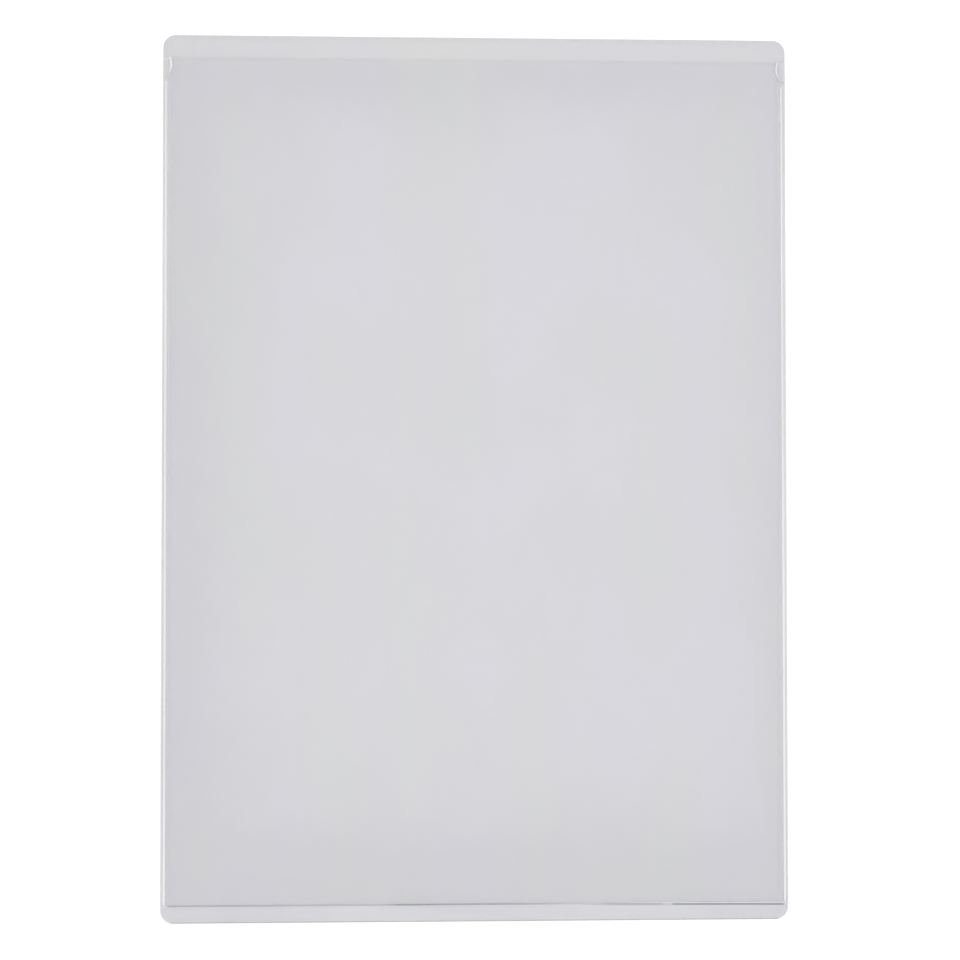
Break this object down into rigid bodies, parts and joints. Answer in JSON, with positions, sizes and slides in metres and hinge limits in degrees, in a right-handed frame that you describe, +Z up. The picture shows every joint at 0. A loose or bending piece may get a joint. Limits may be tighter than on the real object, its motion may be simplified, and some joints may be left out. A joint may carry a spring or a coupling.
{
  "type": "document sleeve",
  "caption": "Clear plastic sleeve for an A4 sheet: a front film welded to a taller back film along the sides and bottom, open at the top.",
  "frame": {"origin": "middle of the underside, on the surface that the sleeve lies on", "axes": "+X across the sleeve to the right, +Y towards the open mouth, +Z up out of the front film"},
  "size_m": [0.22, 0.311, 0.0013],
  "materials": {
    "back_film": "clear film with a faint cool grey tint, satin",
    "front_film": "clear film, glossy",
    "weld": "pressed and fused film, glossy with a slight haze"
  },
  "bodies": {
    "back": {"back_sheet": "back_film", "bottom_weld": "weld", "left_side_weld": "weld", "right_side_weld": "weld", "left_mouth_weld": "weld", "right_mouth_weld": "weld"},
    "front": {"front_sheet": "front_film"}
  },
  "joints": [
    {"name": "mouth_open", "type": "hinge", "parent": "back", "child": "front", "pos_m": [0, -0.1492, 0.00105], "axis": [1, 0, 0], "range_deg": [0, 2], "stiffness_Nm_per_rad": 2}
  ]
}
